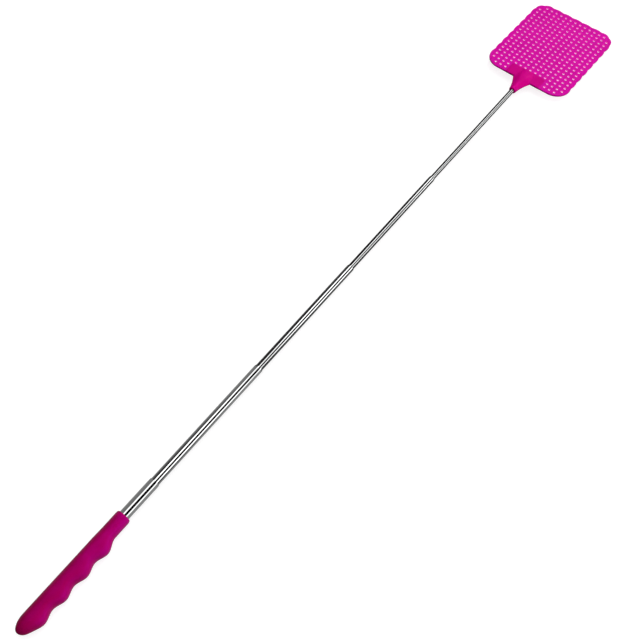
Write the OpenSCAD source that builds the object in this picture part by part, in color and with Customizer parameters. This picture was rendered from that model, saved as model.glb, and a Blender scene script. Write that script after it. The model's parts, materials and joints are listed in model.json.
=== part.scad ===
// Telescopic fly swatter: a soft grip, five nested tubes held out by friction springs,
// and a moulded grid blade on the thinnest tube.
// The shaft runs along +X from grip to blade, the blade's face looks up along +Z, and the
// finger grooves face -Y. The swatter is shown pulled out to its full length.

/* [Grip] */
// Length of the grip from butt to mouth
grip_length = 98; // [88:1:130]
// Half the grip's thickness, from the axis up to its top
grip_half_depth = 7; // [6:0.1:9]
// Thickness of the grip behind the first tube
back_wall = 1.4; // [1.2:0.1:3]
// Distance from the axis to the top of a finger ridge
ridge_reach = 9.7; // [8.8:0.1:13]
// Distance from the axis to the floor of a finger groove
groove_reach = 7.15; // [6.4:0.05:8.4]
// Thickness of the plain collar behind the mouth
collar_wall = 1.8; // [1.4:0.1:2.4]
// Distance between neighbouring finger ridges
ridge_pitch = 19.2; // [16:0.1:20]
// Distance from the butt to the first finger ridge
first_ridge = 15; // [13:0.5:18]
// Thickness of the grip's closed butt
butt_wall = 6; // [6:0.1:8]

/* [Tubes] */
// Outside diameter of the thickest tube
first_tube_d = 8; // [7.6:0.1:9.6]
// Wall of every tube
tube_wall = 0.3; // [0.25:0.01:0.36]
// Free space between one tube and the next inside it
tube_gap = 0.2; // [0.18:0.01:0.24]
// Length of the first tube that shows outside the grip
first_exposure = 30.5; // [20:0.5:45]
// Distance from one tube's mouth to the next when pulled out
stage_pitch = 111.75; // [90:0.25:135]
// Length of the last tube that shows when pulled out
last_exposure = 122.75; // [100:0.25:150]
// Length of the drawn-in mouth of a tube
mouth_draw = 2; // [1.5:0.1:3]
// Radial clearance of everything that slides in a tube
slide_clearance = 0.05; // [0.03:0.01:0.06]

/* [Fittings inside the tubes] */
// Thickness of a tail bush's flange
flange_t = 1.2; // [0.8:0.1:1.2]
// Length of a bush's or plug's spigot, which is pressed into its tube's tail
spigot_length = 3; // [2:0.1:4]
// Wall of a hollow tail bush
bush_wall = 0.8; // [0.5:0.1:1]
// Length of a friction spring
spring_length = 8; // [6:0.1:10]
// Distance a friction spring can move between the bush's flange and the bead
spring_play = 1.8; // [0.5:0.1:3]
// Thickness of a friction spring's sheet
spring_t = 0.1; // [0.08:0.01:0.11]
// Angle that one half-shell of a friction spring wraps
spring_wrap = 160; // [120:1:170]
// Length of the rolled bead that keeps the springs on their tube
bead_length = 1; // [0.8:0.1:1.2]

/* [Head] */
// Length of the neck that shows between the last tube and the blade
neck_length = 16; // [14:0.5:24]
// Wall of the neck around the last tube
neck_wall = 1.3; // [1:0.1:2]
// Half the neck's width where it meets the blade
neck_base_half = 9; // [7:0.1:14]
// Thickness of the flat web beside the neck's round core
neck_web_t = 3; // [2:0.1:4]
// Depth of the last tube in the neck
socket_depth = 11; // [8:0.5:12]
// Length of the tip plug's spigot inside the last tube
tip_spigot = 6; // [4:0.5:8]
// Length of the tip plug's barbed end past the tube
barb_length = 4; // [3:0.1:5]
// Length of the blade from its base edge to its far edge
blade_length = 100; // [80:5:130]
// Width of the blade
blade_width = 80; // [60:10:110]
// Angle by which the blade leans down from the shaft's line
blade_droop = 2.5; // [0:0.5:3]
// Thickness of the blade
blade_t = 1.5; // [1:0.1:2]
// Distance between neighbouring holes
hole_pitch = 5; // [5:0.1:6.5]
// Width of a hole
hole_w = 2; // [1.8:0.1:3.5]
// Radius of the two corners beside the neck
base_corner_r = 14; // [12:0.5:18]
// Radius of the two far corners
far_corner_r = 13; // [12:0.5:18]
// Depth of the scalloped rim's notches
scallop_depth = 0.8; // [0.4:0.1:1.2]
// Width of one scallop
scallop_pitch = 10; // [8:0.5:12]
// Width of the plain plate that spreads the load from the neck
plate_width = 34; // [30:0.5:44]
// Length of the plain plate
plate_length = 13; // [11:0.5:18]
// Height of the plain plate above each face of the blade
plate_rise = 0.4; // [0.2:0.1:0.8]

/* [Hidden] */
$fn = 48;
cut = 1;
last_tube = 5;

// Radii of tube k, counted from 1 at the grip
function tube_r(k) = first_tube_d / 2 - (k - 1) * (tube_wall + tube_gap);
function tube_bore_r(k) = tube_r(k) - tube_wall;
function mouth_bore_r(k) = tube_r(k + 1) + slide_clearance;

// The springs and the bead keep this much of each pulled-out tube inside the next
spring_start = 0.1;
stop_gap = 0.1;
bead_start = spring_start + spring_length + spring_play;
bead_end = bead_start + bead_length;
tail_overlap = bead_end + stop_gap + mouth_draw;
spring_side_gap = 0.03;
spring_bow = tube_gap - spring_t - 2 * spring_side_gap;

// Places along the shaft, measured from the butt
function mouth_x(k) = grip_length + first_exposure + (k - 1) * stage_pitch;
plug_flange_t = 1;
first_tail_x = butt_wall + plug_flange_t;
function tail_x(k) = k == 1 ? first_tail_x : mouth_x(k - 1) - tail_overlap;
neck_x = mouth_x(last_tube - 1) + last_exposure;
tip_x = neck_x + socket_depth;
blade_x = neck_x + neck_length;
total_length = blade_x + blade_length * cos(blade_droop);

// Puts the model's origin under the middle of its length, at the grip's lowest point
module place() {
    translate([-total_length / 2, 0, grip_half_depth])
        children();
}

// A solid of revolution about the shaft's axis, with its zero at x
module turned(x, angle = 360) {
    translate([x, 0, 0])
        rotate([0, 90, 0])
            rotate_extrude(angle = angle)
                children();
}

// ---- Grip: a loft of half-ellipse pairs ----
ring_points = 32;
body_ring_count = 48;
butt_round_back = 11;
butt_round_front = 8;
butt_round_side = 12;
butt_reach = 6.5;
butt_plain = 4;
lip_length = 2.6;
lip_inset = 1;
ridge_count = 4;
grip_back = tube_r(1) + back_wall;
collar_reach = tube_r(1) + collar_wall;
last_ridge = first_ridge + (ridge_count - 1) * ridge_pitch;
fade_length = 11;

// A quarter-ellipse rise from 0 at the butt to 1 after the given length
function rounded(x, length) = x >= length ? 1 : sqrt(1 - pow(1 - x / length, 2));
// The lip's inset over the last part of the grip
function lip(x) =
    x <= grip_length - lip_length ? 0
    : lip_inset * (1 - sqrt(max(0, 1 - pow((x - grip_length + lip_length) / lip_length, 2))));
// A smooth step from 0 to 1
function ease(t) = t <= 0 ? 0 : t >= 1 ? 1 : (1 - cos(180 * t)) / 2;
function wave(x) = groove_reach
    + (ridge_reach - groove_reach) * (1 + cos(360 * (x - first_ridge) / ridge_pitch)) / 2;
function butt_swell(x) = ease((x - butt_plain) / (first_ridge - butt_plain));
function front_reach(x) =
    x < first_ridge ? butt_reach + (ridge_reach - butt_reach) * butt_swell(x)
    : x < last_ridge ? wave(x)
    : ridge_reach + (collar_reach - ridge_reach) * ease((x - last_ridge) / fade_length);
function side_reach(x) = grip_half_depth
    + (collar_reach - grip_half_depth) * ease((x - last_ridge) / fade_length);

function ring(x) = [for (i = [0:ring_points - 1])
    let (
        a = 360 * i / ring_points,
        front = front_reach(x) * rounded(x, butt_round_front) - lip(x),
        back = grip_back * rounded(x, butt_round_back) - lip(x) / 2,
        side = side_reach(x) * rounded(x, butt_round_side) - lip(x)
    )
    [x, cos(a) > 0 ? back * cos(a) : front * cos(a), side * sin(a)]
];
butt_rings = [for (a = [9:9:90]) butt_round_back * (1 - cos(a))];
body_length = grip_length - lip_length - butt_round_back;
body_rings = [for (i = [1:body_ring_count]) butt_round_back + body_length * i / body_ring_count];
lip_rings = [for (a = [18:18:90]) grip_length - lip_length + lip_length * sin(a)];
grip_x = concat(butt_rings, body_rings, lip_rings);
ring_count = len(grip_x);

module grip_skin() {
    points = concat([[0, 0, 0]], [for (x = grip_x) each ring(x)]);
    mouth = [for (i = [0:ring_points - 1]) 1 + (ring_count - 1) * ring_points + i];
    pole = [for (i = [0:ring_points - 1]) [0, 1 + i, 1 + (i + 1) % ring_points]];
    walls = [for (j = [0:ring_count - 2], i = [0:ring_points - 1])
        let (
            a = 1 + j * ring_points + i,
            b = 1 + j * ring_points + (i + 1) % ring_points
        )
        each [[a, a + ring_points, b], [b, a + ring_points, b + ring_points]]
    ];
    polyhedron(points, concat(pole, walls, [mouth]), convexity = 6);
}

module grip() {
    color("mediumvioletred")
        place()
            difference() {
                grip_skin();
                translate([butt_wall, 0, 0])
                    rotate([0, 90, 0])
                        cylinder(r = tube_r(1), h = grip_length - butt_wall + cut);
            }
}

// ---- Tubes and what is pressed into them ----
module tube(k) {
    length = (k < last_tube ? mouth_x(k) : tip_x) - tail_x(k);
    outer = tube_r(k);
    bore = tube_bore_r(k);
    bead_r = k > 1 ? tube_bore_r(k - 1) - slide_clearance : outer;
    bead = k == 1 ? [] : [
        [outer, bead_start],
        [bead_r, bead_start + bead_length / 4],
        [bead_r, bead_end - bead_length / 4],
        [outer, bead_end]
    ];
    draw = k == last_tube ? 0 : outer - mouth_bore_r(k) - tube_wall;
    end = k == last_tube ? [[outer, length], [bore, length]] : [
        [outer, length - mouth_draw],
        [outer - draw / 3, length - mouth_draw / 2],
        [outer - draw, length],
        [bore - draw, length],
        [bore, length - mouth_draw]
    ];
    color("silver")
        place()
            turned(tail_x(k))
                polygon(concat([[bore, 0], [outer, 0]], bead, end));
}

module end_plug() {
    color("dimgray")
        place()
            turned(butt_wall)
                polygon([
                    [0, 0],
                    [tube_r(1), 0],
                    [tube_r(1), plug_flange_t],
                    [tube_bore_r(1), plug_flange_t],
                    [tube_bore_r(1), plug_flange_t + spigot_length],
                    [0, plug_flange_t + spigot_length]
                ]);
}

module tail_bush(k) {
    hole = k == last_tube ? 0 : tube_bore_r(k) - bush_wall;
    flange = tube_bore_r(k - 1) - slide_clearance;
    color("goldenrod")
        place()
            turned(tail_x(k) - flange_t)
                polygon([
                    [hole, 0],
                    [flange, 0],
                    [flange, flange_t],
                    [tube_bore_r(k), flange_t],
                    [tube_bore_r(k), flange_t + spigot_length],
                    [hole, flange_t + spigot_length]
                ]);
}

// One half-shell, bowed so that its middle bears on the outer tube and its ends on the inner
module friction_spring(k, half) {
    inner = tube_r(k) + spring_side_gap;
    color("peru")
        place()
            translate([tail_x(k) + spring_start, 0, 0])
                rotate([half * 180 + (180 - spring_wrap) / 2, 0, 0])
                    turned(0, spring_wrap)
                        polygon([
                            [inner, 0],
                            [inner + spring_t, 0],
                            [inner + spring_t + spring_bow, spring_length / 2],
                            [inner + spring_t, spring_length],
                            [inner, spring_length],
                            [inner + spring_bow, spring_length / 2]
                        ]);
}

// ---- Head ----
barb_groove = 0.5;
module tip_plug_profile() {
    barb = tube_r(last_tube);
    polygon([
        [0, 0],
        [tube_bore_r(last_tube), 0],
        [tube_bore_r(last_tube), tip_spigot],
        [barb, tip_spigot],
        [barb, tip_spigot + barb_length / 4],
        [barb - barb_groove, tip_spigot + barb_length / 2],
        [barb, tip_spigot + barb_length * 3 / 4],
        [barb, tip_spigot + barb_length],
        [0, tip_spigot + barb_length]
    ]);
}

module tip_plug_body() {
    turned(tip_x - tip_spigot)
        tip_plug_profile();
}

module tip_plug() {
    color("goldenrod")
        place()
            tip_plug_body();
}

// The rim runs along one side, round a far corner and to the middle of the far edge
half_w = blade_width / 2;
rim_side = blade_length - base_corner_r - far_corner_r;
rim_arc = PI / 2 * far_corner_r;
rim_half = rim_side + rim_arc + half_w - far_corner_r;
scallops = 2 * round(rim_half / scallop_pitch);
scallop_w = 2 * rim_half / scallops;
function notch(s) = scallop_depth * (1 - abs(cos(180 * s / scallop_w)));
function corner_angle(s) = (s - rim_side) / rim_arc * 90;
function rim_point(s) =
    s <= rim_side ? [base_corner_r + s, half_w - notch(s)]
    : s <= rim_side + rim_arc ? [
        blade_length - far_corner_r + (far_corner_r - notch(s)) * sin(corner_angle(s)),
        half_w - far_corner_r + (far_corner_r - notch(s)) * cos(corner_angle(s))
    ]
    : [blade_length - notch(s), rim_half - s];
rim_steps = 6 * scallops / 2;
left_rim = concat(
    [for (a = [0:9:81]) [
        base_corner_r * (1 - cos(a)),
        half_w - base_corner_r * (1 - sin(a))
    ]],
    [for (i = [0:rim_steps]) rim_point(rim_half * i / rim_steps)]
);
rim_last = len(left_rim) - 1;
right_rim = [for (i = [rim_last - 1:-1:0]) [left_rim[i][0], -left_rim[i][1]]];

hole_margin = 1.4;
hole_corner_part = 0.6;
hole_columns = floor((half_w - hole_pitch + 0.01) / hole_pitch);
hole_rows = floor((blade_length - hole_pitch + 0.01) / hole_pitch);
// How far a hole's outer corner lies from a rounded corner's centre, or 0 away from corners
function corner_reach(x, y, r) =
    x > 0 && y > 0 ? norm([x, y]) + hole_margin + hole_w * hole_corner_part - r : 0;
function clear_of_corners(x, y) =
    corner_reach(base_corner_r - x, abs(y) - half_w + base_corner_r, base_corner_r) <= 0
    && corner_reach(
        x - blade_length + far_corner_r, abs(y) - half_w + far_corner_r, far_corner_r
    ) <= 0;
function clear_of_plate(x, y) =
    x - hole_w / 2 > plate_length || abs(y) - hole_w / 2 > plate_width / 2;

module blade_outline() {
    difference() {
        polygon(concat(left_rim, right_rim));
        for (row = [1:hole_rows], column = [-hole_columns:hole_columns]) {
            x = row * hole_pitch;
            y = column * hole_pitch;
            if (clear_of_corners(x, y) && clear_of_plate(x, y))
                translate([x, y])
                    square(hole_w, center = true);
        }
    }
}

neck_steps = 8;
neck_flare = 1.6;
core_cap = 1;
neck_mouth_r = tube_r(last_tube) + neck_wall;
function neck_half(t) = neck_mouth_r + (neck_base_half - neck_mouth_r) * pow(t, neck_flare);
module neck_outline() {
    side = [for (i = [0:neck_steps]) [neck_length * i / neck_steps, neck_half(i / neck_steps)]];
    polygon(concat(
        side,
        [[neck_length + cut, neck_base_half], [neck_length + cut, -neck_base_half]],
        [for (i = [neck_steps:-1:0]) [side[i][0], -side[i][1]]]
    ));
}

module swatter_head() {
    core_length = socket_depth + barb_length + core_cap;
    core_fade = blade_x + plate_length - neck_x - core_length;
    color("deeppink")
        place()
            difference() {
                union() {
                    translate([blade_x, 0, 0])
                        rotate([0, blade_droop, 0]) {
                            translate([0, 0, -blade_t / 2])
                                linear_extrude(blade_t)
                                    blade_outline();
                            translate([0, -plate_width / 2, -blade_t / 2 - plate_rise])
                                cube([plate_length, plate_width, blade_t + 2 * plate_rise]);
                        }
                    translate([neck_x, 0, -neck_web_t / 2])
                        linear_extrude(neck_web_t)
                            neck_outline();
                    translate([neck_x, 0, 0])
                        rotate([0, 90, 0])
                            cylinder(r = neck_mouth_r, h = core_length);
                    translate([neck_x + core_length, 0, 0])
                        rotate([0, 90, 0])
                            cylinder(r1 = neck_mouth_r, r2 = blade_t / 2, h = core_fade);
                }
                translate([neck_x - cut, 0, 0])
                    rotate([0, 90, 0])
                        cylinder(r = tube_r(last_tube), h = socket_depth + cut);
                tip_plug_body();
            }
}

grip();
end_plug();
tube(1);  // tube_1
tube(2);  // tube_2
tube(3);  // tube_3
tube(4);  // tube_4
tube(5);  // tube_5
tail_bush(2);  // tail_bush_2
tail_bush(3);  // tail_bush_3
tail_bush(4);  // tail_bush_4
tail_bush(5);  // tail_bush_5
friction_spring(2, 0);  // friction_spring_2a
friction_spring(2, 1);  // friction_spring_2b
friction_spring(3, 0);  // friction_spring_3a
friction_spring(3, 1);  // friction_spring_3b
friction_spring(4, 0);  // friction_spring_4a
friction_spring(4, 1);  // friction_spring_4b
friction_spring(5, 0);  // friction_spring_5a
friction_spring(5, 1);  // friction_spring_5b
tip_plug();
swatter_head();
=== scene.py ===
import json
from math import cos, pi, radians, sin, sqrt, tau

import bpy
import bmesh
from mathutils import Matrix, Vector


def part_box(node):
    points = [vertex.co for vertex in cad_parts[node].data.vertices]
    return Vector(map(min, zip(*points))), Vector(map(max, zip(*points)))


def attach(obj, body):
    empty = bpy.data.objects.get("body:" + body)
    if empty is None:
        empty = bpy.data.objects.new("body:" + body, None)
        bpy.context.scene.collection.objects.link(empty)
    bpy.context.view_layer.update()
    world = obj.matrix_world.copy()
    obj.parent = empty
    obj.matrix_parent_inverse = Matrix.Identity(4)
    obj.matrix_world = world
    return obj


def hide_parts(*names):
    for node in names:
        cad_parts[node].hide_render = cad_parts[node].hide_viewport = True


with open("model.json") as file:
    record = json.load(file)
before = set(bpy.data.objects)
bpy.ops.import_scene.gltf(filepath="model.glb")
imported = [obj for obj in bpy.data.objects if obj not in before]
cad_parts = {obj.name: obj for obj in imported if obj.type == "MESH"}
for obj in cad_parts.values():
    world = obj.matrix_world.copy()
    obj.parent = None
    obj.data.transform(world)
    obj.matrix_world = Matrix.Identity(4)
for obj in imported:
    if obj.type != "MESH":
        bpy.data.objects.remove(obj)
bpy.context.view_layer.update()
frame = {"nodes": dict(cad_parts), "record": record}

scene = bpy.context.scene
mm = 0.001
weldGap = 0.0005             # points closer than this are one
finishedPieces = []


def boxInMm(node):
    low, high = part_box(node)
    return low / mm, high / mm


# all sizes are in millimetres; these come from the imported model
gripLow, gripHigh = boxInMm("grip")
headLow, headHigh = boxInMm("swatter_head")
firstLow, firstHigh = boxInMm("tube_1")
axisZ = (firstLow.z + firstHigh.z) / 2
buttX = gripLow.x


def linear(hexColour):
    # an sRGB hex value as the linear colour that shaders need
    parts = [int(hexColour[i:i + 2], 16) / 255 for i in (1, 3, 5)]
    return tuple(c / 12.92 if c <= 0.04045 else ((c + 0.055) / 1.055) ** 2.4 for c in parts) + (1.0,)


def addNode(tree, kind, settings=None, links=None):
    # settings name a socket or a property; links name a socket, or its number, and what feeds it
    node = tree.nodes.new(kind)
    for name, value in (settings or {}).items():
        if isinstance(name, str) and hasattr(node, name):
            setattr(node, name, value)
        else:
            node.inputs[name].default_value = value
    for name, source in (links or {}).items():
        tree.links.new(source, node.inputs[name])
    return node


def newMaterial(name):
    made = bpy.data.materials.new(name)
    made.use_nodes = True
    made.node_tree.nodes.clear()
    return made, made.node_tree


def ramp(tree, source, stops):
    node = addNode(tree, "ShaderNodeValToRGB", links={"Fac": source})
    elements = node.color_ramp.elements
    while len(elements) < len(stops):
        elements.new(0.5)
    for element, (place, colour) in zip(elements, stops):
        element.position = place
        element.color = colour
    return node.outputs["Color"]


def finishMaterial(tree, shaderSettings, links):
    shader = addNode(tree, "ShaderNodeBsdfPrincipled", shaderSettings, links)
    addNode(tree, "ShaderNodeOutputMaterial", links={"Surface": shader.outputs["BSDF"]})


def meshFrom(name, points, faces):
    mesh = bpy.data.meshes.new(name)
    mesh.from_pydata([Vector(p) * mm for p in points], [], faces)
    mesh.validate()
    mesh.shade_smooth()
    return mesh


def placeMesh(name, mesh, material):
    piece = bpy.data.objects.new(name, mesh)
    scene.collection.objects.link(piece)
    mesh.materials.clear()
    mesh.materials.append(material)
    return piece


def skin(rings, loop=False):
    # faces between rings of points; the last ring meets the first, or a point closes each end
    count = len(rings[0])
    last = len(rings) - 1
    points = [p for r in rings for p in r]
    faces = []
    for j, k in [(j, j + 1) for j in range(last)] + ([(last, 0)] if loop else []):
        for i in range(count):
            n = (i + 1) % count
            faces.append((j * count + i, k * count + i, k * count + n, j * count + n))
    for ring in () if loop else (0, last):
        points.append(sum((Vector(p) for p in rings[ring]), Vector()) / count)
        for i in range(count):
            corners = (ring * count + i, ring * count + (i + 1) % count, len(points) - 1)
            faces.append(corners if ring == 0 else corners[::-1])
    return points, faces


def turnedRing(x, radius, count):
    # a ring of points round the shaft's axis
    angles = [tau * i / count for i in range(count)]
    return [(x, radius * cos(a), axisZ + radius * sin(a)) for a in angles]


def outward(mesh):
    work = bmesh.new()
    work.from_mesh(mesh)
    bmesh.ops.remove_doubles(work, verts=work.verts, dist=weldGap * mm)
    bmesh.ops.recalc_face_normals(work, faces=work.faces)
    work.to_mesh(mesh)
    work.free()
    return mesh


def sharpen(mesh, degreesOver):
    # edges sharper than these degrees stay crisp under smooth shading
    work = bmesh.new()
    work.from_mesh(mesh)
    for edge in work.edges:
        if len(edge.link_faces) == 2 and edge.calc_face_angle(0) > radians(degreesOver):
            edge.smooth = False
    work.to_mesh(mesh)
    work.free()
    return mesh


def ease(t):
    return 0 if t <= 0 else 1 if t >= 1 else (1 - cos(pi * t)) / 2


def quarter(t):
    # a quarter circle's rise from 0 to 1
    return sqrt(max(0, 1 - (1 - min(1, t)) ** 2))


def softPvcPaintedShade():
    # soft PVC, injection moulded and left as it leaves the tool: an even satin skin with a fine
    # orange peel, saturated to the edge, with hardly any white in its sheen
    made, tree = newMaterial("softPvcSatinPaintedShade")
    place = addNode(tree, "ShaderNodeTexCoord").outputs["Object"]
    # pigment clouds of about 14 mm, orange peel of 0.5 mm
    cloud = addNode(tree, "ShaderNodeTexNoise", {"Scale": 1 / (14 * mm), "Detail": 3.0}, {"Vector": place})
    peel = addNode(tree, "ShaderNodeTexNoise", {"Scale": 1 / (0.5 * mm), "Detail": 2.0}, {"Vector": place})
    bump = addNode(tree, "ShaderNodeBump", {"Strength": 0.35, "Distance": 0.03 * mm}, {
        "Height": peel.outputs["Fac"],
    })
    # painted shade and painted highlight: the colour is darker towards the butt and along the back, and
    # lighter and bluer towards the finger side; on top of that the pigment drifts in clouds, which is the
    # PVC's own tone
    parts = addNode(tree, "ShaderNodeSeparateXYZ", links={0: place})
    along = addNode(tree, "ShaderNodeMapRange", {
        "From Min": buttX * mm, "From Max": gripHigh.x * mm, "To Min": 0.0, "To Max": 0.45,
    }, {"Value": parts.outputs["X"]})
    across = addNode(tree, "ShaderNodeMapRange", {
        "From Min": gripHigh.y * mm, "From Max": gripLow.y * mm, "To Min": -0.15, "To Max": 0.6,
    }, {"Value": parts.outputs["Y"]})
    drift = addNode(tree, "ShaderNodeMapRange", {"To Min": -0.35, "To Max": 0.35}, {
        "Value": cloud.outputs["Fac"],
    })
    share = addNode(tree, "ShaderNodeMath", {"operation": "ADD"}, {
        0: along.outputs["Result"], 1: across.outputs["Result"],
    })
    total = addNode(tree, "ShaderNodeMath", {"operation": "ADD"}, {
        0: share.outputs[0], 1: drift.outputs["Result"],
    })
    # the darkest stop is painted shade at the butt and the back, the lightest a painted highlight on the
    # finger side
    colour = ramp(tree, total.outputs[0], [
        (0.0, linear("#960040")), (0.45, linear("#a80056")), (0.9, linear("#b60078")),
    ])
    finishMaterial(tree, {
        "Roughness": 0.45, "IOR": 1.53, "Specular IOR Level": 0.25,
        "Specular Tint": linear("#5a00ff"), "Subsurface Weight": 0.05,
        "Subsurface Radius": (0.6 * mm, 0.1 * mm, 0.3 * mm), "Subsurface Scale": 1.0,
    }, {"Base Color": colour, "Normal": bump.outputs["Normal"]})
    return made


def gridPolyethylenePaintedGlow():
    # polyethylene, injection moulded thin: glossier than the grip and slightly waxy; the hole walls get a
    # painted light pink and a painted glow for light coming through the web; the thin web is lighter and
    # bluer
    made, tree = newMaterial("polyethyleneGlossPaintedGlow")
    place = addNode(tree, "ShaderNodeTexCoord").outputs["Object"]
    # flow clouds of about 18 mm, skin grain of 0.8 mm
    flow = addNode(tree, "ShaderNodeTexNoise", {"Scale": 1 / (18 * mm), "Detail": 2.0}, {"Vector": place})
    grain = addNode(tree, "ShaderNodeTexNoise", {"Scale": 1 / (0.8 * mm), "Detail": 2.0}, {"Vector": place})
    bump = addNode(tree, "ShaderNodeBump", {"Strength": 0.25, "Distance": 0.02 * mm}, {
        "Height": grain.outputs["Fac"],
    })
    thick = ramp(tree, flow.outputs["Fac"], [(0.3, linear("#cd0082")), (0.7, linear("#d4008a"))])
    thin = ramp(tree, flow.outputs["Fac"], [(0.3, linear("#d2089f")), (0.7, linear("#da0ca6"))])
    web = addNode(tree, "ShaderNodeAttribute", {"attribute_name": "thinWeb"}).outputs["Fac"]
    blend = addNode(tree, "ShaderNodeMix", {"data_type": "RGBA"}, {0: web, 6: thick, 7: thin})
    # upright faces near a hole are its walls; they get a painted light pink and a faint painted glow, though
    # no lamp is there
    near = addNode(tree, "ShaderNodeAttribute", {"attribute_name": "paintedGlowWall"}).outputs["Fac"]
    normal = addNode(tree, "ShaderNodeTexCoord").outputs["Normal"]
    facing = addNode(tree, "ShaderNodeSeparateXYZ", links={0: normal})
    level = addNode(tree, "ShaderNodeMath", {"operation": "ABSOLUTE"}, {0: facing.outputs["Z"]})
    steep = addNode(tree, "ShaderNodeMapRange", {"From Min": 0.95, "From Max": 0.5}, {
        "Value": level.outputs[0],
    })
    wall = addNode(tree, "ShaderNodeMath", {"operation": "MULTIPLY"}, {0: near, 1: steep.outputs["Result"]})
    glow = addNode(tree, "ShaderNodeMath", {"operation": "MULTIPLY", 1: 0.28}, {0: wall.outputs[0]})
    colour = addNode(tree, "ShaderNodeMix", {"data_type": "RGBA", 7: linear("#ff58cc")}, {
        0: wall.outputs[0], 6: blend.outputs[2],
    }).outputs[2]
    # the emission is the hole walls' painted glow
    finishMaterial(tree, {
        "Roughness": 0.4, "IOR": 1.51, "Specular IOR Level": 0.05,
        "Specular Tint": linear("#ff30e0"), "Emission Color": linear("#f050d0"), "Subsurface Weight": 0.25,
        "Subsurface Radius": (1.6 * mm, 0.2 * mm, 1.1 * mm), "Subsurface Scale": 1.0,
    }, {"Base Color": colour, "Normal": bump.outputs["Normal"], "Emission Strength": glow.outputs[0]})
    return made


def drawnChrome():
    # steel tube, cold drawn and bright plated: a mirror with faint lengthwise draw lines that
    # stretch each reflection along the tube
    made, tree = newMaterial("platedSteelDrawnTube")
    place = addNode(tree, "ShaderNodeTexCoord").outputs["Object"]
    # draw lines 0.35 mm apart and a hundred times as long, handling marks of about 22 mm
    stretch = addNode(tree, "ShaderNodeMapping", {"Scale": (0.01, 1.0, 1.0)}, {"Vector": place})
    lines = addNode(tree, "ShaderNodeTexNoise", {"Scale": 1 / (0.35 * mm), "Detail": 2.0}, {
        "Vector": stretch.outputs["Vector"],
    })
    marks = addNode(tree, "ShaderNodeTexNoise", {"Scale": 1 / (22 * mm), "Detail": 4.0}, {"Vector": place})
    rough = addNode(tree, "ShaderNodeMapRange", {"To Min": 0.03, "To Max": 0.08}, {
        "Value": marks.outputs["Fac"],
    })
    bump = addNode(tree, "ShaderNodeBump", {"Strength": 0.06, "Distance": 0.01 * mm}, {
        "Height": lines.outputs["Fac"],
    })
    colour = ramp(tree, marks.outputs["Fac"], [(0.3, linear("#abacac")), (0.7, linear("#b0b1b1"))])
    finishMaterial(tree, {"Metallic": 1.0}, {
        "Base Color": colour, "Roughness": rough.outputs["Result"], "Normal": bump.outputs["Normal"],
    })
    return made


def turnedBrass():
    # free-cutting brass, turned: warm yellow with fine rings round the axis
    made, tree = newMaterial("brassTurned")
    place = addNode(tree, "ShaderNodeTexCoord").outputs["Object"]
    # turning rings 0.12 mm apart; a wave's scale is 0.31 over its spacing
    rings = addNode(tree, "ShaderNodeTexWave", {
        "bands_direction": "X", "Scale": 0.31 / (0.12 * mm), "Distortion": 0.4,
    }, {"Vector": place})
    rough = addNode(tree, "ShaderNodeMapRange", {"To Min": 0.22, "To Max": 0.36}, {
        "Value": rings.outputs["Fac"],
    })
    bump = addNode(tree, "ShaderNodeBump", {"Strength": 0.3, "Distance": 0.01 * mm}, {
        "Height": rings.outputs["Fac"],
    })
    colour = ramp(tree, rings.outputs["Fac"], [(0.2, linear("#b8923f")), (0.8, linear("#d3ad57"))])
    finishMaterial(tree, {"Metallic": 1.0}, {
        "Base Color": colour, "Roughness": rough.outputs["Result"], "Normal": bump.outputs["Normal"],
    })
    return made


def rolledBronze():
    # phosphor bronze strip, cold rolled: reddish, with straight rolling lines
    made, tree = newMaterial("phosphorBronzeRolled")
    place = addNode(tree, "ShaderNodeTexCoord").outputs["Object"]
    # rolling lines 0.2 mm apart and twenty times as long
    stretch = addNode(tree, "ShaderNodeMapping", {"Scale": (0.05, 1.0, 1.0)}, {"Vector": place})
    lines = addNode(tree, "ShaderNodeTexNoise", {"Scale": 1 / (0.2 * mm), "Detail": 3.0}, {
        "Vector": stretch.outputs["Vector"],
    })
    rough = addNode(tree, "ShaderNodeMapRange", {"To Min": 0.25, "To Max": 0.42}, {
        "Value": lines.outputs["Fac"],
    })
    colour = ramp(tree, lines.outputs["Fac"], [(0.3, linear("#9a6038")), (0.7, linear("#b87a4a"))])
    finishMaterial(tree, {"Metallic": 1.0}, {"Base Color": colour, "Roughness": rough.outputs["Result"]})
    return made


def mouldedPolypropylene():
    # black polypropylene, moulded with a spark-eroded texture: dull, with a fine grain
    made, tree = newMaterial("polypropyleneMouldedMatt")
    place = addNode(tree, "ShaderNodeTexCoord").outputs["Object"]
    # eroded grain of 0.25 mm
    grain = addNode(tree, "ShaderNodeTexNoise", {"Scale": 1 / (0.25 * mm), "Detail": 2.0}, {"Vector": place})
    bump = addNode(tree, "ShaderNodeBump", {"Strength": 0.4, "Distance": 0.02 * mm}, {
        "Height": grain.outputs["Fac"],
    })
    colour = ramp(tree, grain.outputs["Fac"], [(0.3, linear("#1a1a1b")), (0.7, linear("#242425"))])
    finishMaterial(tree, {"Roughness": 0.6, "IOR": 1.49}, {
        "Base Color": colour, "Normal": bump.outputs["Normal"],
    })
    return made


materials = {
    "grip": softPvcPaintedShade(),
    "head": gridPolyethylenePaintedGlow(),
    "tube": drawnChrome(),
    "brass": turnedBrass(),
    "spring": rolledBronze(),
    "plug": mouldedPolypropylene(),
}
print("materials:", len(materials))

for entry in frame["record"]["subparts"]:
    node = frame["nodes"][entry["node"]]
    node.data.materials.clear()
    node.data.materials.append(materials[entry["material_slot"]])


def keep(piece, body, slot, *nodes):
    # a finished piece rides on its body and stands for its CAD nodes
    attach(piece, body)
    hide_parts(*nodes)
    finishedPieces.append(piece)


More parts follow.
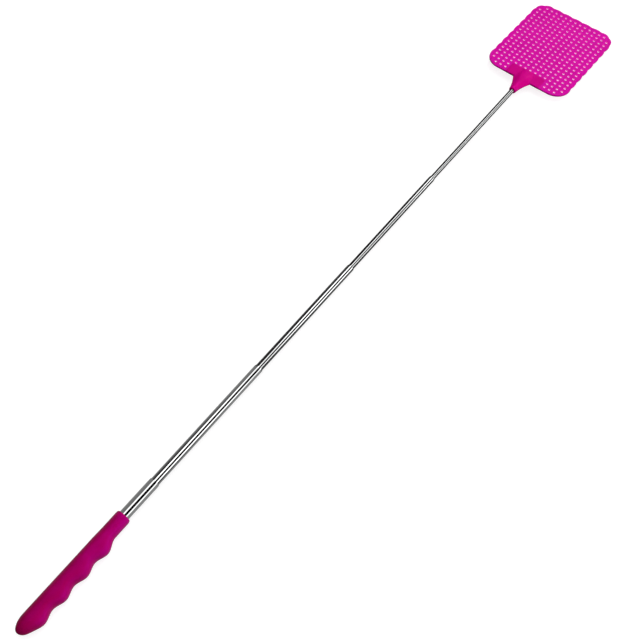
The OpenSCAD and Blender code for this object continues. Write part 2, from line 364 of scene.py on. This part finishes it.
grip = {
    "length": gripHigh.x - gripLow.x,
    "halfDepth": axisZ - gripLow.z,      # axis to the top and to the underside
    "back": gripHigh.y,                  # axis to the straight back
    "ridge": -gripLow.y,                 # axis to a ridge's top
    "groove": 7.15,                      # axis to a groove's floor
    "collar": 5.8,                       # radius of the plain collar behind the mouth
    "pitch": 19.2,                       # from ridge to ridge
    "firstRidge": 15.0,                  # butt to the first ridge
    "ridges": 4,
    "fade": 11.0,                        # last ridge to the plain collar
    "buttReach": 6.5,                    # axis to the front of the plain butt
    "buttPlain": 4.0,                    # butt to where the first ridge starts to rise
    "buttRound": (11.0, 8.0, 12.0),      # how far the butt rounds at back, front and sides
    "lipLength": 2.6,
    "lipInset": 1.0,                     # how far the mouth's rounded lip draws in
    "boreGap": 0.02,                     # free space round the first tube
    "boreEdge": [(0.0, 0.3), (0.06, 0.08), (0.3, 0.0)],     # depth and extra radius of its broken edge
    "buttWall": 6.0,
    "seamHeight": 0.07,                  # parting line along back and front
    "seamWidth": 0.35,
    "seamRise": 6.0,                     # the butt's length over which the seam comes up
    "tipStart": 0.004,                   # the first ring, just past the butt's closing point
    "crisp": 50,                         # degrees past which an edge stays crisp
    "segments": 128,
    "roundSteps": 22,
    "bodySteps": 150,
    "lipSteps": 10,
}
lastRidge = grip["firstRidge"] + (grip["ridges"] - 1) * grip["pitch"]
lipStart = grip["length"] - grip["lipLength"]


def gripFront(x):
    swing = grip["ridge"] - grip["groove"]
    if x < grip["firstRidge"]:
        rise = ease((x - grip["buttPlain"]) / (grip["firstRidge"] - grip["buttPlain"]))
        return grip["buttReach"] + (grip["ridge"] - grip["buttReach"]) * rise
    if x < lastRidge:
        return grip["groove"] + swing * (1 + cos(tau * (x - grip["firstRidge"]) / grip["pitch"])) / 2
    return grip["ridge"] + (grip["collar"] - grip["ridge"]) * ease((x - lastRidge) / grip["fade"])


def gripSide(x):
    return grip["halfDepth"] + (grip["collar"] - grip["halfDepth"]) * ease((x - lastRidge) / grip["fade"])


def gripRing(x):
    # half an ellipse to the back and half to the front, drawn in at the lip
    lip = grip["lipInset"] * (1 - quarter(1 - (x - lipStart) / grip["lipLength"])) if x > lipStart else 0
    back = grip["back"] * quarter(x / grip["buttRound"][0]) - lip / 2
    front = gripFront(x) * quarter(x / grip["buttRound"][1]) - lip
    side = gripSide(x) * quarter(x / grip["buttRound"][2]) - lip
    ring = []
    for i in range(grip["segments"]):
        angle = tau * i / grip["segments"]
        y = cos(angle) * (back if cos(angle) > 0 else front)
        z = sin(angle) * side
        seam = grip["seamHeight"] * max(0, 1 - abs(z) / grip["seamWidth"]) * min(1, x / grip["seamRise"])
        ring.append((buttX + x, y + (seam if y > 0 else -seam), axisZ + z))
    return ring


def makeGrip():
    steps = grip["roundSteps"]
    roundX = [grip["buttRound"][0] * (1 - cos(pi / 2 * i / steps)) for i in range(1, steps + 1)]
    steps = grip["bodySteps"]
    bodyX = [roundX[-1] + (lipStart - roundX[-1]) * i / steps for i in range(1, steps + 1)]
    steps = grip["lipSteps"]
    lipX = [lipStart + grip["lipLength"] * sin(pi / 2 * i / steps) for i in range(1, steps + 1)]
    rings = [gripRing(x) for x in [grip["tipStart"]] + roundX + bodyX + lipX]
    bore = (firstHigh.z - firstLow.z) / 2 + grip["boreGap"]
    boreShape = [(grip["length"] - depth, bore + extra) for depth, extra in grip["boreEdge"]]
    boreShape.append((grip["buttWall"], bore))
    rings += [turnedRing(buttX + x, radius, grip["segments"]) for x, radius in boreShape]
    points, faces = skin(rings)
    mesh = sharpen(outward(meshFrom("gripSkin", points, faces)), grip["crisp"])
    piece = placeMesh("softGrip", mesh, materials["grip"])
    keep(piece, "handle", "grip", "grip")


makeGrip()
print("grip made")


tubeSet = {
    "count": 5,
    "step": 0.5,             # from one tube's radius to the next
    "wall": 0.3,
    "clearance": 0.05,       # between what slides and the tube round it
    "mouthDraw": 2.0,        # length of the drawn-in mouth
    "beadLength": 1.0,
    "beadEnd": 10.9,         # from the tail to the far side of the rolled bead
    "cutEdge": 0.06,         # how far the cut ends' outer edges are broken
    "mouthFlat": 0.05,       # from the mouth to where its outer edge starts to break
    "mouthInner": 0.03,      # how far the mouth's inner edge is broken
    "crisp": 40,
    "curveSteps": 8,
    "segments": 96,
}


def outerRadius(k):
    # the bead is proud of moving tubes, so the radius is counted down from the first tube
    return (firstHigh.z - firstLow.z) / 2 - tubeSet["step"] * (k - 1)


def tubeProfile(k):
    # places along the tube and radii, from the tail's bore round the outside and back
    low, high = boxInMm(f"tube_{k}")
    length = high.x - low.x
    outer = outerRadius(k)
    bore = outer - tubeSet["wall"]
    edge, count = tubeSet["cutEdge"], tubeSet["curveSteps"]
    profile = [(0.0, bore), (0.0, outer - edge), (edge, outer)]
    if k > 1:
        top = outerRadius(k - 1) - tubeSet["wall"] - tubeSet["clearance"]
        start = tubeSet["beadEnd"] - tubeSet["beadLength"]
        for i in range(count + 1):
            rise = sin(pi * i / count)
            profile.append((start + tubeSet["beadLength"] * i / count, outer + (top - outer) * rise))
    if k < tubeSet["count"]:
        draw = outer - (outerRadius(k + 1) + tubeSet["clearance"]) - tubeSet["wall"]
        start = length - tubeSet["mouthDraw"]
        steps = [(start + tubeSet["mouthDraw"] * i / count, draw * (i / count) ** 2) for i in range(count)]
        profile += [(x, outer - d) for x, d in steps]
        profile += [(length - tubeSet["mouthFlat"], outer - draw), (length, outer - draw - edge)]
        inner = tubeSet["mouthInner"]
        profile += [(length, bore - draw + inner), (length - inner, bore - draw)]
        profile += [(x, bore - d) for x, d in reversed(steps)]
    else:
        profile += [(length - edge, outer), (length, outer - edge), (length, bore)]
    return low.x, profile


def makeTube(k):
    start, profile = tubeProfile(k)
    rings = [turnedRing(start + x, radius, tubeSet["segments"]) for x, radius in profile]
    points, faces = skin(rings, loop=True)
    mesh = sharpen(outward(meshFrom(f"tubeSkin{k}", points, faces)), tubeSet["crisp"])
    piece = placeMesh(f"telescopeTube{k}", mesh, materials["tube"])
    keep(piece, "handle" if k == 1 else f"section_{k}", "tube", f"tube_{k}")


for k in range(1, tubeSet["count"] + 1):
    makeTube(k)
print("tubes made")


blade = {
    "length": 100.0,
    "width": headHigh.y - headLow.y,
    "thickness": 1.5,
    "holePitch": 5.0,
    "holeWidth": 2.0,
    "holeCorner": 0.7,           # corner radius of a hole
    "edgeRound": 0.35,           # rounding of every edge
    "lead": 0.12,                # flat strip beside each rounding
    "rimMargin": 3.3,            # least distance from a hole's centre to the rim
    "baseCorner": 14.0,
    "farCorner": 13.0,
    "scallopDepth": 0.8,
    "scallopPitch": 10.0,
    "cornerSteps": 12,
    "scallopSteps": 12,          # steps of each scallop
    "edgeSteps": 3,              # steps of each edge's rounding
    "holeCornerSteps": 3,
    "weld": 0.004,               # faces and walls closer than this are joined
    "plateLength": 13.0,
    "plateWidth": 34.0,
    "droop": 2.5,                # degrees that the blade leans down from the shaft's line
}
droopAngle = radians(blade["droop"])
bladeX = headHigh.x - blade["length"] * cos(droopAngle) - blade["thickness"] / 2 * sin(droopAngle)


def rimPoints():
    # the blade's outline from its base edge round the far edge and back, scalloped past the base corners
    half, base, far = blade["width"] / 2, blade["baseCorner"], blade["farCorner"]
    side = blade["length"] - base - far
    arc = pi / 2 * far
    total = side + arc + half - far
    scallops = round(total / blade["scallopPitch"])
    step = total / scallops
    rim = [(0.0, half - base)]
    turns = [pi / 2 * i / blade["cornerSteps"] for i in range(1, blade["cornerSteps"])]
    rim += [(base * (1 - cos(a)), half - base * (1 - sin(a))) for a in turns]
    count = blade["scallopSteps"] * scallops
    for i in range(count + 1):
        s = total * i / count
        depth = blade["scallopDepth"] * (1 - abs(cos(pi * s / step)))
        if s <= side:
            rim.append((base + s, half - depth))
        elif s <= side + arc:
            a = (s - side) / far
            rim.append((blade["length"] - far + (far - depth) * sin(a), half - far + (far - depth) * cos(a)))
        else:
            rim.append((blade["length"] - depth, total - s))
    mirrored = [(x, -y) for x, y in reversed(rim[:-1])]
    return rim + mirrored


def bladeTree():
    tree = bpy.data.node_groups.new("perforatedBlade", "GeometryNodeTree")
    sockets = tree.interface
    sockets.new_socket("Geometry", in_out="INPUT", socket_type="NodeSocketGeometry")
    for name in ("Pitch", "Hole Width", "Hole Corner", "Thickness", "Edge Round", "Lead", "Rim Margin",
                 "Length", "Width", "Plate Length", "Plate Width", "Base X", "Height"):
        sockets.new_socket(name, in_out="INPUT", socket_type="NodeSocketFloat")
    sockets.new_socket("Material", in_out="INPUT", socket_type="NodeSocketMaterial")
    sockets.new_socket("Geometry", in_out="OUTPUT", socket_type="NodeSocketGeometry")
    given = addNode(tree, "NodeGroupInput").outputs

    def fed(node, values):
        # plain numbers are set on the sockets, and anything else is linked to them
        for i, value in enumerate(values):
            if isinstance(value, (int, float)):
                node.inputs[i].default_value = value
            else:
                tree.links.new(value, node.inputs[i])
        return node.outputs[0]

    def maths(operation, *values):
        return fed(addNode(tree, "ShaderNodeMath", {"operation": operation}), values)

    def vector(x=0.0, y=0.0, z=0.0):
        return fed(addNode(tree, "ShaderNodeCombineXYZ"), (x, y, z))

    half = maths("MULTIPLY", given["Thickness"], 0.5)
    out = maths("ADD", given["Edge Round"], given["Lead"])

    # points of the hole lattice, without those near the rim or under the plain plate
    rows = maths("SUBTRACT", maths("ROUND", maths("DIVIDE", given["Length"], given["Pitch"])), 1)
    columns = maths("SUBTRACT", maths("ROUND", maths("DIVIDE", given["Width"], given["Pitch"])), 1)
    grid = addNode(tree, "GeometryNodeMeshGrid", links={
        "Size X": maths("MULTIPLY", maths("SUBTRACT", rows, 1), given["Pitch"]),
        "Size Y": maths("MULTIPLY", maths("SUBTRACT", columns, 1), given["Pitch"]),
        "Vertices X": rows, "Vertices Y": columns,
    })
    moved = addNode(tree, "GeometryNodeTransform", links={
        "Geometry": grid.outputs["Mesh"],
        "Translation": vector(x=maths("ADD", given["Base X"], maths("MULTIPLY", given["Length"], 0.5))),
    })
    near = addNode(tree, "GeometryNodeProximity", {"target_element": "EDGES"}, {0: given["Geometry"]})
    position = addNode(tree, "GeometryNodeInputPosition").outputs[0]
    where = addNode(tree, "ShaderNodeSeparateXYZ", links={0: position})
    tooNear = maths("LESS_THAN", near.outputs["Distance"], given["Rim Margin"])
    halfHole = maths("MULTIPLY", given["Hole Width"], 0.5)
    halfPlate = maths("MULTIPLY", given["Plate Width"], 0.5)
    pastBase = maths("SUBTRACT", where.outputs["X"], given["Base X"])
    underX = maths("LESS_THAN", pastBase, maths("ADD", given["Plate Length"], halfHole))
    underY = maths("LESS_THAN", maths("ABSOLUTE", where.outputs["Y"]), maths("ADD", halfPlate, halfHole))
    dropped = maths("MAXIMUM", tooNear, maths("MULTIPLY", underX, underY))
    lattice = addNode(tree, "GeometryNodeDeleteGeometry", links={
        "Geometry": moved.outputs["Geometry"], "Selection": dropped,
    })

    # rounded square loops round every lattice point
    square = addNode(tree, "GeometryNodeCurvePrimitiveQuadrilateral", links={
        "Width": given["Hole Width"], "Height": given["Hole Width"],
    })
    bent = addNode(tree, "GeometryNodeFilletCurve", {"mode": "POLY", "Count": blade["holeCornerSteps"]}, {
        "Curve": square.outputs["Curve"], "Radius": given["Hole Corner"],
    })
    placed = addNode(tree, "GeometryNodeInstanceOnPoints", links={
        "Points": lattice.outputs["Geometry"], "Instance": bent.outputs["Curve"],
    })
    holes = addNode(tree, "GeometryNodeRealizeInstances", links={0: placed.outputs["Instances"]}).outputs[0]

    rim = addNode(tree, "GeometryNodeMeshToCurve", links={"Mesh": given["Geometry"]}).outputs["Curve"]
    tangent = addNode(tree, "GeometryNodeInputTangent").outputs[0]
    across = addNode(tree, "ShaderNodeVectorMath", {"operation": "CROSS_PRODUCT", 1: (0, 0, 1)}, {
        0: tangent,
    })
    inward = addNode(tree, "ShaderNodeVectorMath", {"operation": "SCALE"}, {0: across.outputs[0]})
    tree.links.new(out, inward.inputs["Scale"])
    loops = addNode(tree, "GeometryNodeJoinGeometry")
    for source in (rim, holes):
        tree.links.new(source, loops.inputs[0])
    shrunk = addNode(tree, "GeometryNodeSetPosition", links={
        "Geometry": loops.outputs[0], "Offset": inward.outputs[0],
    })

    # the two flat faces, from the loops moved into the material as the sweep below moves them
    flat = addNode(tree, "GeometryNodeFillCurve", links={0: shrunk.outputs[0]})
    top = addNode(tree, "GeometryNodeTransform", links={
        "Geometry": flat.outputs[0], "Translation": vector(z=half),
    })
    lowered = addNode(tree, "GeometryNodeTransform", links={
        "Geometry": flat.outputs[0], "Translation": vector(z=maths("MULTIPLY", half, -1)),
    })
    bottom = addNode(tree, "GeometryNodeFlipFaces", links={0: lowered.outputs[0]})

    # the rounded edge's section, swept round every loop: from the top's flat strip round the top
    # edge, down the wall and round the bottom edge to the bottom's flat strip
    count = 2 * (blade["edgeSteps"] + 2)
    section = addNode(tree, "GeometryNodeMeshLine", {"Count": count, "Offset": (0, 0, 0)})
    step = addNode(tree, "GeometryNodeInputIndex").outputs[0]
    upper = maths("MINIMUM", step, maths("SUBTRACT", count - 1, step))     # 0 on a flat, most on the wall
    turn = maths("MULTIPLY", maths("SUBTRACT", upper, 1), pi / 2 / blade["edgeSteps"])
    bend = maths("SUBTRACT", 1, maths("SINE", maths("MAXIMUM", turn, 0)))
    dip = maths("SUBTRACT", 1, maths("COSINE", maths("MAXIMUM", turn, 0)))
    leadPart = maths("MULTIPLY", maths("LESS_THAN", upper, 0.5), given["Lead"])
    reach = maths("ADD", maths("MULTIPLY", bend, given["Edge Round"]), leadPart)
    sign = maths("SUBTRACT", maths("MULTIPLY", maths("LESS_THAN", step, (count - 1) / 2), 2), 1)
    height = maths("MULTIPLY", sign, maths("SUBTRACT", half, maths("MULTIPLY", dip, given["Edge Round"])))

    shaped = addNode(tree, "GeometryNodeSetPosition", links={
        "Geometry": section.outputs["Mesh"], "Position": vector(reach, height),
    })
    profile = addNode(tree, "GeometryNodeMeshToCurve", links={"Mesh": shaped.outputs[0]}).outputs[0]

    def swept(loop):
        made = addNode(tree, "GeometryNodeCurveToMesh", links={"Curve": loop, "Profile Curve": profile})
        return made.outputs[0]

    # hole walls are marked for the painted glow and painted light pink of the head's material
    walls = addNode(tree, "GeometryNodeStoreNamedAttribute", {
        "data_type": "FLOAT", "domain": "POINT", "Name": "paintedGlowWall", "Value": 1.0,
    }, {0: swept(holes)})
    joined = addNode(tree, "GeometryNodeJoinGeometry")
    for source in (swept(rim), walls.outputs[0], bottom.outputs[0], top.outputs[0]):
        tree.links.new(source, joined.inputs[0])
    raised = addNode(tree, "GeometryNodeTransform", links={
        "Geometry": joined.outputs[0], "Translation": vector(z=given["Height"]),
    })
    merged = addNode(tree, "GeometryNodeMergeByDistance", {"Distance": blade["weld"] * mm}, {
        0: raised.outputs[0],
    })
    smooth = addNode(tree, "GeometryNodeSetShadeSmooth", links={0: merged.outputs[0]})
    real = addNode(tree, "GeometryNodeRealizeInstances", links={0: smooth.outputs[0]})
    painted = addNode(tree, "GeometryNodeSetMaterial", links={
        0: real.outputs[0], "Material": given["Material"],
    })
    addNode(tree, "NodeGroupOutput", links={0: painted.outputs[0]})
    return tree


def plainMesh(holder, name, tree, values):
    # runs the tree on a holder object and returns what it makes as an ordinary mesh
    modifier = holder.modifiers.new("grow", "NODES")
    modifier.node_group = tree
    for socket in tree.interface.items_tree:
        if socket.item_type == "SOCKET" and socket.in_out == "INPUT" and socket.name in values:
            modifier[socket.identifier] = values[socket.name]
    graph = bpy.context.evaluated_depsgraph_get()
    mesh = bpy.data.meshes.new_from_object(holder.evaluated_get(graph), depsgraph=graph)
    mesh.name = name
    holder.modifiers.remove(modifier)
    bpy.data.objects.remove(holder)
    return mesh


def makeBlade():
    rim = rimPoints()
    count = len(rim)
    outline = bpy.data.meshes.new("bladeRim")
    points = [Vector((bladeX + x, y, 0)) * mm for x, y in rim]
    outline.from_pydata(points, [(i, (i + 1) % count) for i in range(count)], [])
    holder = bpy.data.objects.new("bladeHolder", outline)
    scene.collection.objects.link(holder)
    sizes = {
        "Pitch": blade["holePitch"], "Hole Width": blade["holeWidth"], "Hole Corner": blade["holeCorner"],
        "Thickness": blade["thickness"], "Edge Round": blade["edgeRound"], "Lead": blade["lead"],
        "Rim Margin": blade["rimMargin"], "Length": blade["length"], "Width": blade["width"],
        "Plate Length": blade["plateLength"], "Plate Width": blade["plateWidth"],
        "Base X": bladeX, "Height": axisZ,
    }
    values = {name: size * mm for name, size in sizes.items()}
    values["Material"] = materials["head"]
    return plainMesh(holder, "bladeMesh", bladeTree(), values)


bladeMesh = makeBlade()
print("blade made:", len(bladeMesh.polygons), "faces")

neck = {
    "length": bladeX - headLow.x,
    "mouth": 3.3,                # radius at its mouth
    "mouthRound": 0.9,           # how far the mouth's edge is rounded
    "base": 9.0,                 # half width where it meets the blade
    "flare": 1.6,                # above 1 the neck widens mostly near the blade
    "coreHeight": 3.0,           # half height over the socket
    "coreEnd": 15.5,             # from the mouth to where the core starts to run out
    "fade": 13.5,                # how far the core runs out over the plate
    "coreLeft": 0.8,             # what is left of it there, as a share of the plate's half thickness
    "webThin": 0.55,             # how much thinner than the core the webs beside it get
    "webStart": 0.25,            # where the webs start and how far they blend, as shares of the half width
    "webBlend": 0.6,
    "plateHalf": 1.0,            # half thickness of the plain plate
    "plateCorner": 2.0,
    "plateEdge": 0.3,            # rounding of its edges
    "voxel": 0.3,                # mesh size of the moulding
    "softness": 0.5,             # how far each round of smoothing goes, and how many rounds
    "softenRounds": 6,
    "crisp": 50,
    "socketRadius": 2.02,
    "socketDepth": 15.0,
    "socketSegments": 64,
    "segments": 72,
    "mouthSteps": 6,
    "bodySteps": 60,
    "cornerSteps": 8,
}


def neckSection(x):
    # half width and half height of the neck at a distance from its mouth
    t = min(1, x / neck["length"])
    rounding = neck["mouthRound"] * (1 - quarter(x / neck["mouthRound"]))
    width = neck["mouth"] + (neck["base"] - neck["mouth"]) * t ** neck["flare"] - rounding
    height = neck["mouth"] + (neck["coreHeight"] - neck["mouth"]) * t - rounding
    height += (neck["plateHalf"] * neck["coreLeft"] - height) * ease((x - neck["coreEnd"]) / neck["fade"])
    return width, height


def neckRing(x):
    # a round core with thinner webs beside it
    width, height = neckSection(x)
    t = min(1, x / neck["length"])
    ring = []
    for i in range(neck["segments"]):
        angle = tau * i / neck["segments"]
        y, z = cos(angle), sin(angle)
        web = 1 - neck["webThin"] * ease((abs(y) - neck["webStart"]) / neck["webBlend"]) * t
        ring.append((headLow.x + x, width * y, axisZ + height * z * web))
    return ring


def plateRings():
    # the plain plate, with rounded far corners and soft edges
    low, high = bladeX, bladeX + blade["plateLength"]
    halfWidth, halfHeight = blade["plateWidth"] / 2, neck["plateHalf"]
    corner, edge = neck["plateCorner"], neck["plateEdge"]
    outline = [(low, halfWidth)]
    for i in range(neck["cornerSteps"] + 1):
        a = pi / 2 * i / neck["cornerSteps"]
        outline.append((high - corner + corner * sin(a), halfWidth - corner + corner * cos(a)))
    outline += [(x, -y) for x, y in reversed(outline)]
    soft = edge * 0.3            # a point on the edge's rounding
    lower = [(edge, -halfHeight), (soft, -halfHeight + soft), (0, -halfHeight + edge)]
    upper = [(inset, -z) for inset, z in reversed(lower)]
    middle = (low + high) / 2
    rings = []
    for inset, z in lower + upper:
        rings.append([
            (x - inset if x > middle else x + inset, y - inset if y > 0 else y + inset, axisZ + z)
            for x, y in outline
        ])
    return rings


def leanedDown(mesh):
    # turned about the blade's base line
    pivot = Vector((bladeX, 0, axisZ)) * mm
    lean = Matrix.Rotation(droopAngle, 4, "Y")
    mesh.transform(Matrix.Translation(pivot) @ lean @ Matrix.Translation(-pivot))
    return mesh


def joinMeshes(name, meshes):
    work = bmesh.new()
    for mesh in meshes:
        work.from_mesh(mesh)
    joined = bpy.data.meshes.new(name)
    work.to_mesh(joined)
    work.free()
    return joined


def socketMesh():
    # a round bar where the last tube sits, to be cut out of the neck
    socket = bpy.data.meshes.new("socketCut")
    work = bmesh.new()
    bmesh.ops.create_cone(
        work, cap_ends=True, segments=neck["socketSegments"], radius1=neck["socketRadius"] * mm,
        radius2=neck["socketRadius"] * mm, depth=2 * neck["socketDepth"] * mm,
    )
    for v in work.verts:
        v.co = Vector((v.co.z, v.co.y, -v.co.x)) + Vector((headLow.x, 0, axisZ)) * mm
    bmesh.ops.recalc_face_normals(work, faces=work.faces)
    work.to_mesh(socket)
    work.free()
    return socket


def makeNeck():
    # core and plate are welded, softened like a moulding and bored for the last tube
    start, steps = neck["mouthRound"], neck["mouthSteps"]
    roundX = [start * (1 - cos(pi / 2 * i / steps)) for i in range(steps + 1)]
    length, steps = neck["coreEnd"] + neck["fade"], neck["bodySteps"]
    bodyX = [start + (length - start) * i / steps for i in range(1, steps + 1)]
    points, faces = skin([neckRing(x) for x in roundX + bodyX])
    core = outward(meshFrom("neckCore", points, faces))
    points, faces = skin(plateRings())
    plate = leanedDown(outward(meshFrom("neckPlate", points, faces)))
    piece = bpy.data.objects.new("neckWork", joinMeshes("neckRough", [core, plate]))
    cutter = bpy.data.objects.new("socketCutter", socketMesh())
    for helper in (piece, cutter):
        scene.collection.objects.link(helper)
    weld = piece.modifiers.new("weld", "REMESH")
    weld.mode = "VOXEL"
    weld.voxel_size = neck["voxel"] * mm
    soften = piece.modifiers.new("soften", "SMOOTH")
    soften.factor = neck["softness"]
    soften.iterations = neck["softenRounds"]
    bore = piece.modifiers.new("socket", "BOOLEAN")
    bore.operation = "DIFFERENCE"
    bore.object = cutter
    graph = bpy.context.evaluated_depsgraph_get()
    mesh = bpy.data.meshes.new_from_object(piece.evaluated_get(graph), depsgraph=graph)
    for helper in (piece, cutter):
        bpy.data.objects.remove(helper)
    mesh.shade_smooth()
    return sharpen(mesh, neck["crisp"])


def makeHead():
    neckMesh = makeNeck()
    print("neck made:", len(neckMesh.polygons), "faces")
    for part, share in ((bladeMesh, 1.0), (neckMesh, 0.0)):
        part.attributes.new("thinWeb", "FLOAT", "POINT")
        part.attributes["thinWeb"].data.foreach_set("value", [share] * len(part.vertices))
    mesh = joinMeshes("swatterHeadMesh", [leanedDown(bladeMesh), neckMesh])
    mesh.shade_smooth()
    sharpen(mesh, neck["crisp"])
    piece = placeMesh("swatterHead", mesh, materials["head"])
    keep(piece, "section_5", "head", "swatter_head")


makeHead()
print("head made")


studio = {
    "floorHalf": 6.0,            # in metres, as the lamp's place and width are
    "floorColour": "#9a9a9a",
    "floorGlow": 0.84,           # the floor is a pale sheet lit from below as well
    "backdrop": 1.0,             # what the camera sees past the floor
    "key": 2.7,                  # strength of the two long softboxes
    "fill": 0.52,                # the bands between and below them, from light to black
    "side": 0.45,
    "dim": 0.36,
    "gap": 0.0,
    "soft": 1.0,                 # half width of each band's soft edge, in degrees
    # where each band of light starts, in degrees round the shaft from the back's horizon
    "bands": [
        (-180, "fill"), (-90, "side"), (10, "dim"), (70, "key"), (98, "gap"), (146, "key"), (171, "fill"),
    ],
    # strength of the bands along the shaft: weak behind the butt, strong past the middle
    "fade": [
        (-1.0, 0.15), (-0.7, 0.15), (0.1, 1.0), (0.35, 1.0),
        (0.48, 1.5), (0.57, 1.5), (0.66, 1.0), (1.0, 1.3),
    ],
    # the dim bands get darker from the first to the last of these places along the shaft
    "deepen": (0.36, 0.56),
    "deepest": 2.4,
    # one more soft lamp beyond the blade
    "lamp": {"place": (0.45, -0.35, 0.6), "width": 0.5, "watts": 1.3},
}


def makeFloor():
    half = studio["floorHalf"]
    corners = [(-half, -half, 0), (half, -half, 0), (half, half, 0), (-half, half, 0)]
    mesh = bpy.data.meshes.new("floorSheet")
    mesh.from_pydata(corners, [], [(0, 1, 2, 3)])
    made, tree = newMaterial("litPaperSheet")
    finishMaterial(tree, {
        "Base Color": linear(studio["floorColour"]), "Roughness": 1.0, "Specular IOR Level": 0.0,
        "Emission Color": (1, 1, 1, 1), "Emission Strength": studio["floorGlow"],
    }, {})
    floor = placeMesh("floor", mesh, made)
    # the softboxes' surroundings stand in for the floor in the object's reflections
    floor.visible_glossy = False
    floor.visible_diffuse = False


def makeLight():
    # long softboxes beside the shaft, with dark gaps between them, as bands of the surroundings
    world = bpy.data.worlds.new("softboxes")
    scene.world = world
    world.use_nodes = True
    tree = world.node_tree
    tree.nodes.clear()
    way = addNode(tree, "ShaderNodeTexCoord").outputs["Generated"]
    parts = addNode(tree, "ShaderNodeSeparateXYZ", links={0: way})
    # the angle round the shaft chooses the band
    angle = addNode(tree, "ShaderNodeMath", {"operation": "ARCTAN2"}, {
        0: parts.outputs["Z"], 1: parts.outputs["Y"],
    })
    share = addNode(tree, "ShaderNodeMapRange", {"From Min": -pi, "From Max": pi}, {
        "Value": angle.outputs[0],
    })
    stops = []
    starts = [band[0] for band in studio["bands"]] + [180]
    for i, (start, level) in enumerate(studio["bands"]):
        value = studio[level] / studio["key"]
        for place in (start + studio["soft"], starts[i + 1] - studio["soft"]):
            stops.append(((place + 180) / 360, (value, value, value, 1)))
    colour = ramp(tree, share.outputs["Result"], stops)
    # the direction along the shaft sets their strength and how deep the dim ones are
    fadeStops = [((place + 1) / 2, (level, level, level, 1)) for place, level in studio["fade"]]
    halfWay = addNode(tree, "ShaderNodeMapRange", {"From Min": -1.0}, {"Value": parts.outputs["X"]})
    fade = ramp(tree, halfWay.outputs["Result"], fadeStops)
    strength = addNode(tree, "ShaderNodeMath", {"operation": "MULTIPLY", 1: studio["key"]}, {0: fade})
    power = addNode(tree, "ShaderNodeMapRange", {
        "From Min": studio["deepen"][0], "From Max": studio["deepen"][1],
        "To Min": 1.0, "To Max": studio["deepest"],
    }, {"Value": parts.outputs["X"]})
    deep = addNode(tree, "ShaderNodeMath", {"operation": "POWER"}, {0: colour, 1: power.outputs["Result"]})
    glow = addNode(tree, "ShaderNodeBackground", links={
        "Color": deep.outputs[0], "Strength": strength.outputs[0],
    })
    plain = addNode(tree, "ShaderNodeBackground", {"Color": (1, 1, 1, 1), "Strength": studio["backdrop"]})
    seen = addNode(tree, "ShaderNodeLightPath").outputs["Is Camera Ray"]
    both = addNode(tree, "ShaderNodeMixShader", links={0: seen, 1: glow.outputs[0], 2: plain.outputs[0]})
    addNode(tree, "ShaderNodeOutputWorld", links={0: both.outputs[0]})


def makeLamp():
    data = bpy.data.lights.new("softLamp", "AREA")
    data.shape = "DISK"
    data.size = studio["lamp"]["width"]
    data.energy = studio["lamp"]["watts"]
    lamp = bpy.data.objects.new("softLamp", data)
    lamp.location = studio["lamp"]["place"]
    lamp.rotation_euler = (-lamp.location).to_track_quat("-Z", "Y").to_euler()
    lamp.visible_glossy = False
    scene.collection.objects.link(lamp)


view = {
    "place": (-0.3547, -0.2379, 0.6500),     # in metres
    "tilt": 30.53,               # degrees up from straight down
    "roll": -0.507,
    "turn": -52.26,
    "lens": 55.89,               # millimetres, as the sensor's width
    "sensor": 36.0,
    "nearest": 0.01,
}


def makeCamera():
    data = bpy.data.cameras.new("camera")
    data.lens = view["lens"]
    data.sensor_width = view["sensor"]
    data.clip_start = view["nearest"]
    camera = bpy.data.objects.new("camera", data)
    camera.location = view["place"]
    camera.rotation_euler = (radians(view["tilt"]), radians(view["roll"]), radians(view["turn"]))
    scene.collection.objects.link(camera)
    scene.camera = camera


makeFloor()
makeLight()
makeLamp()
makeCamera()
scene.view_settings.view_transform = "Standard"
print("stage ready; pieces:", len(finishedPieces))
